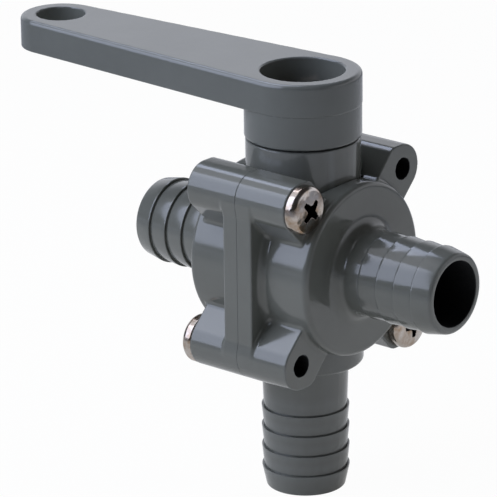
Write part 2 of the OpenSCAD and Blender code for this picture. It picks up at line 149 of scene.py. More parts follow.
def mirrored_rays(tree: NodeTree, path: Node) -> NodeSocket:
    """Give 1 for a ray that a glossy or clear surface sends on, and otherwise 0.

    Args:
        tree: Node tree that gets the node.
        path: The tree's Light Path node.

    Returns:
        The number's socket.
    """
    rays = {0: path.outputs["Is Glossy Ray"], 1: path.outputs["Is Transmission Ray"]}
    return add_node(tree, "ShaderNodeMath", rays, operation="MAXIMUM").outputs[0]


def add_object(name: str, data: ID) -> Object:
    """Put a new object with the given data into the scene.

    Args:
        name: Name of the object.
        data: Its mesh, lamp or camera.

    Returns:
        The new object.
    """
    made = bpy.data.objects.new(name, data)
    bpy.context.scene.collection.objects.link(made)
    return made


# Finishes


@dataclass(frozen=True)
class Grain:
    """Noise whose features have a real width.

    Each further octave is half as wide as the one before, and octave_weight times as strong.
    """

    size_mm: float
    octaves: float
    octave_weight: float = 0.55

    def value(self, tree: NodeTree) -> NodeSocket:
        """Add the noise.

        Args:
            tree: Node tree that gets it.

        Returns:
            Its value, around 0.5.
        """
        inputs = {
            "Vector": add_node(tree, "ShaderNodeTexCoord").outputs["Object"],
            "Scale": 1.0 / (self.size_mm * MM),
            "Detail": self.octaves,
            "Roughness": self.octave_weight,
        }
        return add_node(tree, "ShaderNodeTexNoise", inputs).outputs["Fac"]

    def between(self, tree: NodeTree, low: float, high: float) -> NodeSocket:
        """Add the noise, spread over a range.

        Args:
            tree: Node tree that gets it.
            low: Result where the noise is at its usual least.
            high: Result where the noise is at its usual most.

        Returns:
            The result.
        """
        inputs = {
            "Value": self.value(tree),
            "From Min": NOISE_RANGE[0],
            "From Max": NOISE_RANGE[1],
            "To Min": low,
            "To Max": high,
        }
        return add_node(tree, "ShaderNodeMapRange", inputs).outputs["Result"]


@dataclass(frozen=True)
class Relief:
    """A grain that stands out of a surface by a real depth."""

    grain: Grain
    strength: float
    depth_mm: float

    def normal(self, tree: NodeTree, under: NodeSocket | None = None) -> NodeSocket:
        """Add the relief.

        Args:
            tree: Node tree that gets it.
            under: Normal of a coarser relief on which this one lies.

        Returns:
            The surface's normal.
        """
        inputs = {
            "Height": self.grain.value(tree),
            "Strength": self.strength,
            "Distance": self.depth_mm * MM,
        }
        if under is not None:
            inputs["Normal"] = under
        return add_node(tree, "ShaderNodeBump", inputs).outputs["Normal"]


@dataclass(frozen=True)
class Finish:
    """What all finishes share: a name, and a material that is made once."""

    name: str

    def shade(self, tree: NodeTree) -> Node:
        """Add the finish's nodes and return its shader, as each kind of finish does."""
        raise NotImplementedError

    def build(self) -> Material:
        """Make the material, or find it where it was made before.

        Returns:
            The material.
        """
        material = bpy.data.materials.get(self.name)
        if material is None:
            material = bpy.data.materials.new(self.name)
            material.use_nodes = True
            tree = material.node_tree
            tree.nodes.clear()
            surface = self.shade(tree).outputs[0]
            add_node(tree, "ShaderNodeOutputMaterial", {"Surface": surface})
        return material


@dataclass(frozen=True)
class MouldedPvc(Finish):
    """Injection-moulded grey PVC, as it comes out of a polished tool.

    The eye sees a satin gloss that mirrors lamps with a soft edge, a faint waviness where the
    plastic shrank, pale flow streaks, and edges a little lighter where they were handled.
    """

    colour: str
    streak_colour: str
    roughness: float = 0.13
    roughness_change: Point2 = (-0.02, 0.03)
    ior: float = 1.54
    worn_colour: str = "A4A8AC"
    worn_edge: Point2 = (0.51, 0.60)
    worn_share: float = 0.16
    streaks: Grain = Grain(16.0, octaves=4.0)
    scuffs: Grain = Grain(4.0, octaves=2.0)
    waves: Relief = Relief(Grain(7.0, octaves=1.0), strength=0.05, depth_mm=0.3)
    # A polished tool's relief is finer than a pixel. It is drawn 0.35 mm wide, to show.
    mould_relief: Relief = Relief(Grain(0.35, octaves=3.0), strength=0.06, depth_mm=0.02)

    def shade(self, tree: NodeTree) -> Node:
        """Add the plastic's nodes.

        Args:
            tree: The material's node tree.

        Returns:
            The shader.
        """
        inputs = {
            MIX_SHARE: self.streaks.between(tree, 0.0, 1.0),
            MIX_A: linear(self.colour),
            MIX_B: linear(self.streak_colour),
        }
        base = add_node(tree, "ShaderNodeMix", inputs, data_type="RGBA")
        inputs = {
            "Value": add_node(tree, "ShaderNodeNewGeometry").outputs["Pointiness"],
            "From Min": self.worn_edge[0],
            "From Max": self.worn_edge[1],
            "To Min": 0.0,
            "To Max": self.worn_share,
        }
        worn = add_node(tree, "ShaderNodeMapRange", inputs)
        inputs = {
            MIX_SHARE: worn.outputs["Result"],
            MIX_A: base.outputs[MIXED],
            MIX_B: linear(self.worn_colour),
        }
        coloured = add_node(tree, "ShaderNodeMix", inputs, data_type="RGBA")
        least, most = (self.roughness + change for change in self.roughness_change)
        inputs = {
            "Base Color": coloured.outputs[MIXED],
            "Roughness": self.scuffs.between(tree, least, most),
            "IOR": self.ior,
            "Normal": self.mould_relief.normal(tree, self.waves.normal(tree)),
        }
        return add_node(tree, "ShaderNodeBsdfPrincipled", inputs)


@dataclass(frozen=True)
class ColdHeadedSteel(Finish):
    """Stainless steel, headed cold in a die and tumbled.

    The eye sees a bright metal whose face is uneven: shallow dents from the die break up what it
    mirrors, and a thin brown film of the header's lubricant lies on it in patches.
    """

    name: str = "cold_headed_stainless"
    colour: str = "BCB6B0"
    film_colour: str = "927C66"
    roughness: float = 0.17
    roughness_share: Point2 = (0.85, 1.25)
    film: Grain = Grain(3.2, octaves=3.0)
    dents: Relief = Relief(Grain(1.9, octaves=1.0), strength=0.35, depth_mm=0.3)
    # Tumbling leaves marks of about 0.1 mm. They are drawn 0.4 mm wide, to show.
    die_relief: Relief = Relief(Grain(0.4, octaves=3.0), strength=0.2, depth_mm=0.01)

    def shade(self, tree: NodeTree) -> Node:
        """Add the steel's nodes.

        Args:
            tree: The material's node tree.

        Returns:
            The shader.
        """
        inputs = {
            MIX_SHARE: self.film.between(tree, 0.0, 1.0),
            MIX_A: linear(self.colour),
            MIX_B: linear(self.film_colour),
        }
        base = add_node(tree, "ShaderNodeMix", inputs, data_type="RGBA")
        least, most = (share * self.roughness for share in self.roughness_share)
        inputs = {
            "Base Color": base.outputs[MIXED],
            "Roughness": self.die_relief.grain.between(tree, least, most),
            "Metallic": 1.0,
            "Normal": self.die_relief.normal(tree, self.dents.normal(tree)),
        }
        return add_node(tree, "ShaderNodeBsdfPrincipled", inputs)


@dataclass(frozen=True)
class PlainFinish(Finish):
    """A surface of one colour that is a little darker in patches, with a fine relief."""

    colour: str
    roughness: float
    metallic: float = 0.0
    ior: float = 1.5
    roughness_share: Point2 = (0.85, 1.2)
    mottle: float = 0.08
    patches: Grain = Grain(4.0, octaves=3.0)
    # The tool's marks are finer than a pixel. They are drawn 0.5 mm wide, to show.
    relief: Relief = Relief(Grain(0.5, octaves=3.0), strength=0.3, depth_mm=0.01)

    def shade(self, tree: NodeTree) -> Node:
        """Add the finish's nodes.

        Args:
            tree: The material's node tree.

        Returns:
            The shader.
        """
        colour = linear(self.colour)
        inputs = {
            MIX_SHARE: self.patches.between(tree, 0.0, 1.0),
            MIX_A: colour,
            MIX_B: tuple(c * (1 - self.mottle) for c in colour[:3]) + (1.0,),
        }
        base = add_node(tree, "ShaderNodeMix", inputs, data_type="RGBA")
        least, most = (share * self.roughness for share in self.roughness_share)
        inputs = {
            "Base Color": base.outputs[MIXED],
            "Roughness": self.relief.grain.between(tree, least, most),
            "Metallic": self.metallic,
            "Normal": self.relief.normal(tree),
        }
        if self.metallic == 0:
            inputs["IOR"] = self.ior
        return add_node(tree, "ShaderNodeBsdfPrincipled", inputs)


@dataclass(frozen=True)
class WhitePaper(Finish):
    """Matt paper that is white to the camera and keeps the valve's shadow.

    Painted falloff of the lamps' light: its colour and what it mirrors darken away from the valve.
    """

    name: str = "white_paper"
    colour: str = "EBEAE6"
    # Painted shade: the paper's colour away from the valve, where the lamps' light falls off.
    far_colour: str = "C4C3C0"
    lit_radius: Point2 = (180.0, 380.0)
    roughness: float = 0.9
    white_share: float = 0.97
    mirror_share: float = 0.55

    def shade(self, tree: NodeTree) -> Node:
        """Add the paper's nodes.

        Args:
            tree: The material's node tree.

        Returns:
            The shader.
        """
        place = add_node(tree, "ShaderNodeTexCoord").outputs["Object"]
        away = add_node(tree, "ShaderNodeVectorMath", {0: place}, operation="LENGTH")
        inputs = {
            "Value": away.outputs["Value"],
            "From Min": self.lit_radius[1] * MM,
            "From Max": self.lit_radius[0] * MM,
        }
        near = add_node(tree, "ShaderNodeMapRange", inputs).outputs["Result"]
        inputs = {MIX_SHARE: near, MIX_A: linear(self.far_colour), MIX_B: linear(self.colour)}
        colour = add_node(tree, "ShaderNodeMix", inputs, data_type="RGBA").outputs[MIXED]
        inputs = {"Color": colour, "Roughness": self.roughness}
        paper = add_node(tree, "ShaderNodeBsdfDiffuse", inputs)
        white = add_node(tree, "ShaderNodeEmission", {"Color": WHITE, "Strength": 1.0})
        path = add_node(tree, "ShaderNodeLightPath")
        mirror = add_node(tree, "ShaderNodeMapRange", {"Value": near, "To Max": self.mirror_share})
        inputs = {0: mirrored_rays(tree, path), 1: mirror.outputs["Result"]}
        glint = add_node(tree, "ShaderNodeMath", inputs, operation="MULTIPLY")
        inputs = {0: path.outputs["Is Camera Ray"], 1: self.white_share, 2: glint.outputs[0]}
        share = add_node(tree, "ShaderNodeMath", inputs, operation="MULTIPLY_ADD")
        inputs = {0: share.outputs[0], 1: paper.outputs[0], 2: white.outputs[0]}
        return add_node(tree, "ShaderNodeMixShader", inputs)


# Signed distances


def join(a: Array, b: Array, fillet: float | Array) -> Array:
    """Unite two solids and fill the corner between them with a radius.

    Args:
        a: Distances to the first solid, negative inside.
        b: Distances to the second solid.
        fillet: Radius of the fillet.

    Returns:
        Distances to the united solid.
    """
    near_a = np.maximum(fillet - a, 0)
    near_b = np.maximum(fillet - b, 0)
    return np.maximum(fillet, np.minimum(a, b)) - np.hypot(near_a, near_b)


def meet(a: Array, b: Array, edge: float) -> Array:
    """Keep what two solids have in common and round the edge between them."""
    return -join(-a, -b, edge)


def cut(a: Array, b: Array, edge: float) -> Array:
    """Take the second solid away from the first and round the rim that this leaves."""
    return meet(a, -b, edge)


def outline_distance(u: Array, v: Array, corners: list[Point2]) -> Array:
    """Measure signed distances to a closed outline.

    Args:
        u: First coordinate of the points.
        v: Second coordinate of the points.
        corners: The outline's corners in order.

    Returns:
        Distances, negative inside the outline.
    """
    nearest = np.full(np.broadcast(u, v).shape, np.inf)
    sign = np.ones(nearest.shape)
    for (au, av), (bu, bv) in zip(corners, corners[-1:] + corners[:-1]):
        along_u, along_v = bu - au, bv - av
        from_u, from_v = u - au, v - av
        share = (from_u * along_u + from_v * along_v) / (along_u**2 + along_v**2)
        share = np.clip(share, 0, 1)
        gap = (from_u - along_u * share) ** 2 + (from_v - along_v * share) ** 2
        nearest = np.minimum(nearest, gap)
        above, below = v >= av, v < bv
        left = along_u * from_v > along_v * from_u
        sign = np.where((above & below & left) | ~(above | below | left), -sign, sign)
    return sign * np.sqrt(nearest)


def smooth_mesh(name: str, points: Array, quads: Array, slopes: Array | None = None) -> Mesh:
    """Make a smooth-shaded mesh.

    Args:
        name: Name of the mesh.
        points: Its points in millimetres.
        quads: The four points of each face.
        slopes: Normals of the points, where they aren't to be taken from the faces.

    Returns:
        The mesh, in metres.
    """
    mesh = bpy.data.meshes.new(name)
    mesh.from_pydata((points * MM).tolist(), [], quads.tolist())
    mesh.polygons.foreach_set("use_smooth", [True] * len(mesh.polygons))
    if slopes is not None:
        mesh.normals_split_custom_set_from_vertices(slopes.tolist())
    mesh.update()
    return mesh


@dataclass(frozen=True)
class Mesher:
    """Meshes a signed distance: one point in each cell that the surface passes through.

    The probes over which a slope is taken and the limit of a step are shares of a cell.
    """

    lines: tuple[Array, Array, Array]
    cell: float
    rounds: int = 3
    probe: float = 0.02
    shading_probe: float = 0.12
    step_limit: float = 0.5
    least_steepness: float = 0.25

    @classmethod
    def even(cls, low: Point3, high: Point3, cell: float) -> "Mesher":
        """Make a mesher with cells of one size between two corners."""
        return cls(tuple(np.arange(l, h + cell, cell) for l, h in zip(low, high)), cell)

    def mesh(self, name: str, field: Field) -> Mesh:
        """Mesh a solid.

        Args:
            name: Name of the mesh.
            field: The solid's signed distance in millimetres.

        Returns:
            A closed mesh in metres, shaded by the solid's own slope.
        """
        grid = field(*np.meshgrid(*self.lines, indexing="ij", sparse=True))
        grid = np.broadcast_to(grid, [len(line) for line in self.lines])
        inside = grid < 0
        cells, number = self._crossed_cells(inside)
        points, slopes = self._settle(self._first_points(cells, grid), field)
        return smooth_mesh(name, points, self._quads(inside, number), slopes)

    @staticmethod
    def _crossed_cells(inside: Array) -> tuple[Array, Array]:
        """List the cells with corners on both sides of the surface, and number them.

        Args:
            inside: True at each grid point inside the solid.

        Returns:
            The places of those cells in the grid, and the grid of their numbers.
        """
        total = np.zeros([n - 1 for n in inside.shape], np.int8)
        ni, nj, nk = total.shape
        for i, j, k in np.ndindex(2, 2, 2):
            total += inside[i : i + ni, j : j + nj, k : k + nk]
        crossed = (total > 0) & (total < 8)
        number = np.full(total.shape, -1, np.int64)
        number[crossed] = np.arange(crossed.sum())
        return np.argwhere(crossed), number

    def _first_points(self, cells: Array, grid: Array) -> Array:
        """Put each cell's point at the mean of the places where the surface crosses its edges.

        Args:
            cells: Places of the crossed cells in the grid.
            grid: Signed distance at each grid point.

        Returns:
            One point for each cell, in millimetres.
        """
        corners = np.array(list(np.ndindex(2, 2, 2)))
        pairs = [(a, b) for a in range(8) for b in range(a, 8)]
        values = grid[tuple((cells[:, None, :] + corners).transpose(2, 0, 1))]
        total = np.zeros((len(cells), 3))
        crossings = np.zeros((len(cells), 1))
        for a, b in pairs:
            if np.abs(corners[a] - corners[b]).sum() != 1:
                continue
            from_value, to_value = values[:, a], values[:, b]
            crosses = (from_value < 0) != (to_value < 0)
            gap = np.where(crosses, from_value - to_value, 1.0)
            share = np.where(crosses, from_value / gap, 0.0)[:, None]
            total += crosses[:, None] * (corners[a] + share * (corners[b] - corners[a]))
            crossings += crosses[:, None]
        places = []
        for line, cell, share in zip(self.lines, cells.T, (total / crossings).T):
            places.append(line[cell] * (1 - share) + line[cell + 1] * share)
        return np.stack(places, 1)

    def _settle(self, points: Array, field: Field) -> tuple[Array, Array]:
        """Move points onto the surface.

        Args:
            points: Points near the surface.
            field: The solid's signed distance.

        Returns:
            The points on the surface, and the surface's slope there as unit vectors.
        """
        for _ in range(self.rounds):
            slopes = self._slopes(points, field, self.probe * self.cell)
            steepness = np.maximum((slopes**2).sum(1, keepdims=True), self.least_steepness)
            shift = field(*points.T)[:, None] * slopes / steepness
            length = np.linalg.norm(shift, axis=1, keepdims=True)
            limit = np.minimum(1.0, self.step_limit * self.cell / np.maximum(length, TINY))
            points = points - shift * limit
        slopes = self._slopes(points, field, self.shading_probe * self.cell)
        return points, slopes / np.maximum(np.linalg.norm(slopes, axis=1, keepdims=True), TINY)

    @staticmethod
    def _slopes(points: Array, field: Field, step: float) -> Array:
        """Take the field's slope at each point from its values on both sides.

        Args:
            points: The points.
            field: The solid's signed distance.
            step: How far from the point the values are taken.

        Returns:
            The slope along each axis, one row for each point.
        """
        columns = []
        for axis in range(3):
            shift = np.zeros(3)
            shift[axis] = step
            ahead, behind = points + shift, points - shift
            columns.append((field(*ahead.T) - field(*behind.T)) / (2 * step))
        return np.stack(columns, 1)

    @staticmethod
    def _quads(inside: Array, number: Array) -> Array:
        """Join the four cells round each grid edge that the surface crosses.

        Args:
            inside: True at each grid point inside the solid.
            number: The grid of the crossed cells' numbers.

        Returns:
            The cells' numbers, four for each face, outward side first.
        """
        quads = []
        for axis in range(3):
            one, two = (axis + 1) % 3, (axis + 2) % 3
            here = np.moveaxis(inside, (axis, one, two), (0, 1, 2))
            cells = np.moveaxis(number, (axis, one, two), (0, 1, 2))
            start, end = here[:-1, 1:-1, 1:-1], here[1:, 1:-1, 1:-1]
            for outward in (True, False):
                spot = np.argwhere((start & ~end) if outward else (~start & end))
                i, j, k = spot.T
                ring = [cells[i, j, k], cells[i, j + 1, k]]
                ring += [cells[i, j + 1, k + 1], cells[i, j, k + 1]]
                quads.append(np.stack(ring if outward else ring[::-1], 1))
        return np.concatenate(quads)


# Turned pieces and pieces in the scene


def rounded(corners: list[Point3], steps: int = 4, side_share: float = 0.45) -> list[Point2]:
    """Round the corners of a closed profile.

    Args:
        corners: The profile's corners in order, each with the radius that rounds it.
        steps: Straight pieces in each rounded corner.
        side_share: Most of a side that one corner may take.

    Returns:
        The profile with arcs in place of its corners.
    """
    result = []
    for i, (along, across, radius) in enumerate(corners):
        here = Vector((along, across))
        back = Vector(corners[i - 1][:2]) - here
        ahead = Vector(corners[(i + 1) % len(corners)][:2]) - here
        half = back.angle(ahead) / 2
        reach = min(radius / math.tan(half), side_share * back.length, side_share * ahead.length)
        back.normalize()
        ahead.normalize()
        middle = here + (back + ahead).normalized() * (reach / math.cos(half))
        first, last = here + back * reach - middle, here + ahead * reach - middle
        for step in range(steps + 1):
            arm = first.lerp(last, step / steps).normalized() * first.length
            result.append(tuple(middle + arm))
    return result


def turned_mesh(name: str, profile: list[Point2], segments: int = 192) -> Mesh:
    """Sweep a closed profile once round the X axis.

    Args:
        name: Name of the mesh.
        profile: Corners as (place along the axis, radius) in millimetres.
        segments: Steps round the axis.

    Returns:
        A closed ring-shaped mesh in metres.
    """
    angles = 2 * math.pi * np.arange(segments) / segments
    along, radius = np.array(profile).T
    count = len(profile)
    points = np.zeros((segments, count, 3))
    points[:, :, 0] = along
    points[:, :, 1] = radius * np.cos(angles)[:, None]
    points[:, :, 2] = radius * np.sin(angles)[:, None]
    rows, columns = np.meshgrid(np.arange(segments), np.arange(count), indexing="ij")
    next_row, next_column = (rows + 1) % segments, (columns + 1) % count
    ring = [
        rows * count + columns,
        next_row * count + columns,
        next_row * count + next_column,
        rows * count + next_column,
    ]
    return smooth_mesh(name, points.reshape(-1, 3), np.stack(ring, -1).reshape(-1, 4))


def mark_hollow(mesh: Mesh, hollow: Field) -> None:
    """Give the faces that lie on a hollow's wall the second finish of their piece, a dark painted
    shade.

    Args:
        mesh: The mesh, in metres.
        hollow: Distance to the hollow in millimetres, near zero on its wall.
    """
    centres = np.zeros(3 * len(mesh.polygons))
    mesh.polygons.foreach_get("center", centres)
    on_wall = hollow(*(centres.reshape(-1, 3) / MM).T) < WALL_TOLERANCE
    mesh.polygons.foreach_set("material_index", on_wall.astype(np.int32))


def add_piece(name: str, meshes: list[Mesh], materials: list[Material], place: Matrix) -> Object:
    """Put one or more closed meshes into the scene as one piece.

    Args:
        name: Name of the piece.
        meshes: Its meshes in their own coordinates.
        materials: Its finish, and the painted shade of the faces marked as a hollow's wall.
        place: Where those coordinates lie in the frame.

    Returns:
        The new object.
    """
    parts = []
    for mesh in meshes:
        part = add_object(name, mesh.copy())
        for material in materials:
            part.data.materials.append(material)
        parts.append(part)
    piece = parts[0]
    if len(parts) > 1:
        chosen = {"selected_editable_objects": parts, "selected_objects": parts}
        with bpy.context.temp_override(active_object=piece, object=piece, **chosen):
            bpy.ops.object.join()
    piece.name = name
    piece.data.name = name
    piece.data.transform(place)
    return piece


# Sub-assemblies


@dataclass(frozen=True)
class HosePort:
    """Barbed end of a port. Lengths run from its open end inward."""

    bore_radius: float = 7.5
    crest_radius: float = 10.0
    root_radius: float = 9.55
    tip_radius: float = 9.1
    lead_in: float = 4.6
    pitch: float = 4.85
    land: float = 0.3
    barbs: int = 4
    groove_depth: float = 0.2
    groove_width: float = 0.35
    crest_round: float = 0.06
    tip_round: float = 0.85
    mouth_round: float = 0.3

    @property
    def length(self) -> float:
        """Distance from the open end to the far side of the last barb's groove."""
        return self.lead_in + (self.barbs - 1) * self.pitch + self.land + self.groove_width

    def profile(self) -> list[Point2]:
        """Give the barbs' closed profile.

        Returns:
            Its corners as (distance from the open end, radius).
        """
        groove = self.root_radius - self.groove_depth
        soft = self.crest_round
        corners = [(0.0, self.bore_radius, self.mouth_round)]
        corners.append((0.0, self.tip_radius, self.tip_round))
        for barb in range(self.barbs):
            crest = self.lead_in + barb * self.pitch
            behind = crest + self.land
            corners.append((crest, self.crest_radius, soft))
            corners.append((behind, self.crest_radius, soft))
            corners.append((behind, groove, soft))
            corners.append((behind + self.groove_width, groove, soft))
            if barb < self.barbs - 1:
                corners.append((behind + self.groove_width, self.root_radius, soft))
        corners.append((self.length, self.bore_radius, 0.0))
        return rounded(corners)


@dataclass(frozen=True)
class CapMoulding:
    """Half of the clamped case. Coordinates: x from the seam along the port, z up from its axis."""

    port: HosePort = HosePort()
    port_reach: float = 43.0
    root_end_radius: float = 9.95
    port_fillet: float = 2.8
    barrel_radius: float = 20.0
    barrel_round: float = 1.3
    face: float = 17.0
    boss_face: float = 14.0
    boss_y: float = 18.02
    boss_z: float = 18.40
    boss_radius: float = 5.65
    corner_radius: float = 3.0
    corner_shift: float = 2.4
    web_angle: float = 137.5
    web_run: float = 8.0
    plate_thickness: float = 4.0
    plate_inset: float = 0.45
    plate_fillet: float = 1.8
    boss_fillet: float = 1.0
    edge: float = 0.35
    hole_edge: float = 0.15
    seam_edge: float = 0.15
    socket_radius: float = 17.5
    floor: float = 13.6
    plug_radius: float = 13.7
    plug_front: float = 10.91
    seat_radius: float = 11.03
    seat_back: float = 14.2
    neck_notch: float = 13.1
    collar_notch: float = 13.5
    notch_overlap: float = 0.1
    clear_radius: float = 3.0
    pilot_radius: float = 2.5
    cell: float = 0.3

    def boss_outline(self) -> list[Point2]:
        """Give the straight-sided part of one boss and its web, in the upper right quarter.

        Returns:
            Its corners as (y, z), in order.
        """
        turn = math.radians(self.web_angle)
        across, upward = math.cos(turn), math.sin(turn)
        corner_y = self.boss_y - self.corner_shift
        corner_z = self.boss_z + self.boss_radius - self.corner_radius
        edge = (corner_y + self.corner_radius * across, corner_z + self.corner_radius * upward)
        slant = math.sqrt(0.5)
        flank = (self.boss_y + self.boss_radius * slant, self.boss_z - self.boss_radius * slant)
        return [
            (self.boss_y, self.boss_z),
            (self.boss_y, self.boss_z + self.boss_radius),
            (corner_y, corner_z + self.corner_radius),
            edge,
            (edge[0] - self.web_run * upward, edge[1] + self.web_run * across),
            (flank[0] - self.web_run * slant, flank[1] - self.web_run * slant),
            flank,
        ]

    def _bosses(self, y: Array, z: Array) -> Array:
        """Measure distances to the four bosses' outline.

        Args:
            y: Places across the port's axis.
            z: Heights from the port's axis.

        Returns:
            Distances, negative inside the outline.
        """
        side, level = np.abs(y), np.abs(z)
        corner_z = self.boss_z + self.boss_radius - self.corner_radius
        boss = np.hypot(side - self.boss_y, level - self.boss_z) - self.boss_radius
        corner = np.hypot(side - self.boss_y + self.corner_shift, level - corner_z)
        web = outline_distance(side, level, self.boss_outline())
        return np.minimum(np.minimum(boss, corner - self.corner_radius), web)

    def _hollow(self, x: Array, radius: Array) -> Array:
        """Measure distances to the socket, the seat's recess and the bore.

        Args:
            x: Places along the port's axis.
            radius: Distances from that axis.

        Returns:
            Distances, negative inside the hollow.
        """
        outside, mouth = -1.0, self.port_reach
        steps = [
            (outside, 0.0),
            (outside, self.socket_radius),
            (self.floor, self.socket_radius),
            (self.floor, self.plug_radius),
            (self.plug_front, self.plug_radius),
            (self.plug_front, self.seat_radius),
            (self.seat_back, self.seat_radius),
            (self.seat_back, self.port.bore_radius),
            (mouth, self.port.bore_radius),
            (mouth, 0.0),
        ]
        return outline_distance(x, radius, steps)

    def _screw_holes(self, y: Array, z: Array) -> Array:
        """Measure distances to the screw holes: two with clearance, two to be cut by threads."""
        hole_radius = np.where(y * z < 0, self.clear_radius, self.pilot_radius)
        return np.hypot(np.abs(y) - self.boss_y, np.abs(z) - self.boss_z) - hole_radius

    def _holes(self, x: Array, y: Array, z: Array) -> Array:
        """Measure distances to the bore and the screw holes."""
        return np.minimum(np.hypot(y, z) - self.port.bore_radius, self._screw_holes(y, z))

    def distance(self, x: Array, y: Array, z: Array) -> Array:
        """Measure signed distances to the cap without its barbs.

        Args:
            x: Places along the port, from the seam.
            y: Places across the port's axis.
            z: Heights from the port's axis.

        Returns:
            Distances, negative inside the cap.
        """
        radius = np.hypot(y, z)
        shank_end = self.port_reach - self.port.length
        taper = np.clip((x - self.face) / (shank_end - self.face), 0, 1)
        shank_radius = self.root_end_radius + taper * (self.port.root_radius - self.root_end_radius)
        barrel = meet(radius - self.barrel_radius, x - self.face, self.barrel_round)
        solid = join(barrel, np.maximum(radius - shank_radius, x - shank_end), self.port_fillet)
        plate_side = self.boss_y + self.boss_radius - self.plate_inset
        plates = meet(np.abs(y) - plate_side, np.abs(z) - self.boss_z, self.edge)
        plates = meet(plates, x - self.plate_thickness, self.edge)
        solid = join(solid, plates, self.plate_fillet)
        bosses = meet(self._bosses(y, z), x - self.boss_face, self.edge)
        solid = join(solid, bosses, self.boss_fillet)
        solid = meet(solid, -x, self.seam_edge)
        notch_radius = np.where(z > 0, self.neck_notch, self.collar_notch)
        notch_floor = self.socket_radius - self.notch_overlap - radius
        solid = cut(solid, np.maximum(np.hypot(x, y) - notch_radius, notch_floor), self.edge)
        solid = np.maximum(solid, -self._hollow(x, radius))
        return cut(solid, self._screw_holes(y, z), self.hole_edge)

    def meshes(self) -> list[Mesh]:
        """Mesh the cap and its barbs.

        Returns:
            The two meshes, with their bores' and screw holes' faces marked for painted shade.
        """
        margin = MARGIN * self.cell
        reach = self.boss_y + self.boss_radius + margin
        height = self.boss_z + self.boss_radius + margin
        shank_end = self.port_reach - self.port.length
        across = np.arange(-reach, reach + self.cell, self.cell)
        upward = np.arange(-height, height + self.cell, self.cell)
        # Close layers of cells carry the rounded edge at the seam.
        near_seam = np.arange(-3, 9) * self.seam_edge / 2
        beyond = np.arange(near_seam[-1] + self.seam_edge, shank_end + margin, self.cell)
        mesher = Mesher((np.concatenate([near_seam, beyond]), across, upward), self.cell)
        profile = [(self.port_reach - along, radius) for along, radius in self.port.profile()]
        made = [mesher.mesh("cap_moulding", self.distance), turned_mesh("cap_barbs", profile[::-1])]
        # The bores' and screw holes' faces get the dark finish, a painted shade.
        for mesh in made:
            mark_hollow(mesh, self._holes)
        return made

    def build(self, materials: list[Material]) -> list[Object]:
        """Make both caps.

        Args:
            materials: The caps' finish and the painted shade of their bores and screw holes.

        Returns:
            The front cap and the rear cap.
        """
        meshes = self.meshes()
        raised = Matrix.Translation((0, 0, RUN_HEIGHT * MM))
        pieces = []
        for name, turn in (("front_cap", 0.0), ("rear_cap", math.pi)):
            place = Matrix.Rotation(turn, 4, "Z") @ raised
            piece = add_piece(name + "_moulding", meshes, materials, place)
            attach(piece, Body.HOUSING.value)
            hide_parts(name)
            pieces.append(piece)
        return pieces


